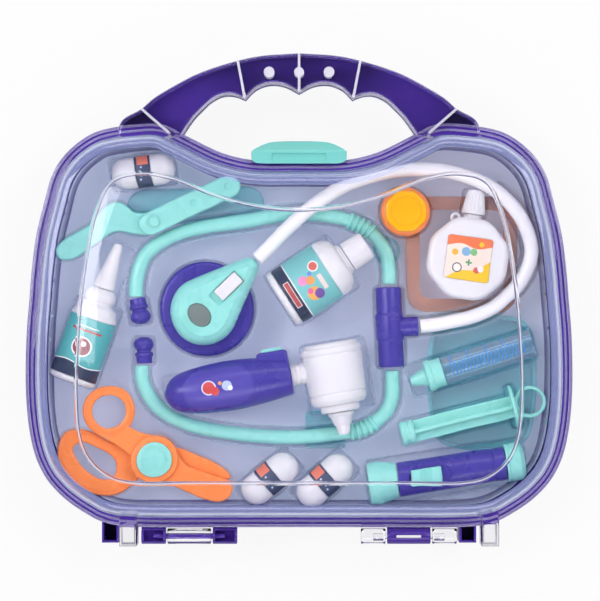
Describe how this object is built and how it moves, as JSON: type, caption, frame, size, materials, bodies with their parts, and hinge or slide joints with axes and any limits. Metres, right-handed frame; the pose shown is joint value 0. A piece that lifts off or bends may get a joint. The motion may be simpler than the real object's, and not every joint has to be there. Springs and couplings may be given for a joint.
{
  "type": "toy doctor case",
  "caption": "Hinged carrying case of two half shells with a moulded handle and latch, holding a formed tray of toy medical instruments.",
  "frame": {"origin": "Middle of the outline on the flat rear face, on which the case lies.", "axes": "+Z out of the clear cover, +Y towards the carrying handle, +X to the right when the clear cover faces the viewer."},
  "size_m": [0.29, 0.2598, 0.068],
  "materials": {
    "clear_cover": "clear moulded polystyrene",
    "clear_tray": "clear vacuum-formed sheet",
    "clear_blue": "tinted clear polystyrene",
    "purple_shell": "moulded polypropylene",
    "purple_toy": "moulded ABS",
    "mint_plastic": "moulded polypropylene",
    "mint_toy": "moulded ABS",
    "mint_tube": "soft moulded vinyl",
    "white_tube": "soft extruded vinyl tube",
    "white_toy": "moulded polyethylene",
    "grey_toy": "moulded ABS",
    "orange_toy": "moulded ABS",
    "yellow_toy": "moulded polypropylene",
    "teal_toy": "moulded ABS",
    "violet_badge": "printed film",
    "printed_label": "printed paper label",
    "card": "pale card"
  },
  "bodies": {
    "case": {"rear_shell": "purple_shell", "insert_card": "card", "toy_tray": "clear_tray", "chest_disc": "purple_toy", "chest_dome": "mint_toy", "chest_window": "grey_toy", "chest_tube": "white_tube", "tube_connector": "purple_toy", "ear_tube_upper": "mint_tube", "ear_tube_lower": "mint_tube", "ear_tip_upper": "purple_toy", "ear_tip_lower": "purple_toy", "otoscope_grip": "purple_toy", "otoscope_badge": "violet_badge", "otoscope_head": "white_toy", "otoscope_cone": "white_toy", "torch_head": "mint_toy", "torch_body": "purple_toy", "torch_tail": "mint_toy", "syringe_nozzle": "mint_toy", "syringe_barrel": "clear_blue", "syringe_plunger": "mint_toy", "pill_bottle": "white_toy", "pill_bottle_label": "printed_label", "drops_bottle": "white_toy", "drops_nozzle": "white_toy", "drops_label": "printed_label", "flat_bottle": "white_toy", "flat_bottle_label": "printed_label", "lotion_bottle": "orange_toy", "scissor_loop_half": "orange_toy", "scissor_rivet": "mint_toy", "forceps_lower_arm": "mint_toy", "forceps_rivet": "mint_toy", "kidney_dish": "teal_toy", "rear_box": "teal_toy", "rear_lever": "teal_toy", "rear_hoop": "teal_toy", "rear_frame": "orange_toy", "capsule_1": "white_toy", "capsule_1_band": "printed_label", "capsule_2": "white_toy", "capsule_2_band": "printed_label", "capsule_3": "white_toy", "capsule_3_band": "printed_label"},
    "lid": {"front_shell": "clear_cover"},
    "latch": {"latch": "mint_plastic"},
    "scissor_ring_half": {"scissor_ring_half": "orange_toy"},
    "forceps_upper_arm": {"forceps_upper_arm": "mint_toy"},
    "otoscope_button": {"otoscope_button": "mint_toy"},
    "torch_switch": {"torch_switch": "mint_toy"},
    "chest_slider": {"chest_slider": "white_toy"},
    "pill_bottle_cap": {"pill_bottle_cap": "white_toy"},
    "flat_bottle_cap": {"flat_bottle_cap": "white_toy"},
    "lotion_cap": {"lotion_cap": "yellow_toy"}
  },
  "joints": [
    {"name": "lid_hinge", "type": "hinge", "parent": "case", "child": "lid", "pos_m": [0, -0.126, 0.034], "axis": [1, 0, 0], "range_deg": [0, 180]},
    {"name": "latch_pivot", "type": "hinge", "parent": "case", "child": "latch", "pos_m": [0, 0.0765, 0.027], "axis": [-1, 0, 0], "range_deg": [0, 70]},
    {"name": "scissor_pivot", "type": "hinge", "parent": "case", "child": "scissor_ring_half", "pos_m": [-0.07694, -0.08507, 0.034], "axis": [0, 0, -1], "range_deg": [0, 9]},
    {"name": "forceps_pivot", "type": "hinge", "parent": "case", "child": "forceps_upper_arm", "pos_m": [-0.07705, 0.04048, 0.034], "axis": [0, 0, -1], "range_deg": [0, 25]},
    {"name": "otoscope_press", "type": "slide", "parent": "case", "child": "otoscope_button", "axis": [0.1668, -0.986, 0], "range_m": [0, 0.001], "stiffness_N_per_m": 150},
    {"name": "torch_slide", "type": "slide", "parent": "case", "child": "torch_switch", "axis": [0.988, 0.1547, 0], "range_m": [0, 0.004]},
    {"name": "chest_slide", "type": "slide", "parent": "case", "child": "chest_slider", "axis": [-0.7071, -0.7071, 0], "range_m": [0, 0.003]},
    {"name": "pill_cap_turn", "type": "hinge", "parent": "case", "child": "pill_bottle_cap", "pos_m": [-0.01008, -0.00097, 0.0368], "axis": [0.8415, 0.5402, 0], "range_deg": [0, 360]},
    {"name": "flat_cap_turn", "type": "hinge", "parent": "case", "child": "flat_bottle_cap", "pos_m": [0.08915, 0.02106, 0.031], "axis": [0.1392, 0.9903, 0], "range_deg": [0, 360]},
    {"name": "lotion_cap_turn", "type": "hinge", "parent": "case", "child": "lotion_cap", "pos_m": [0.05625, 0.046, 0.04], "axis": [0, 0, 1], "range_deg": [0, 360]}
  ]
}
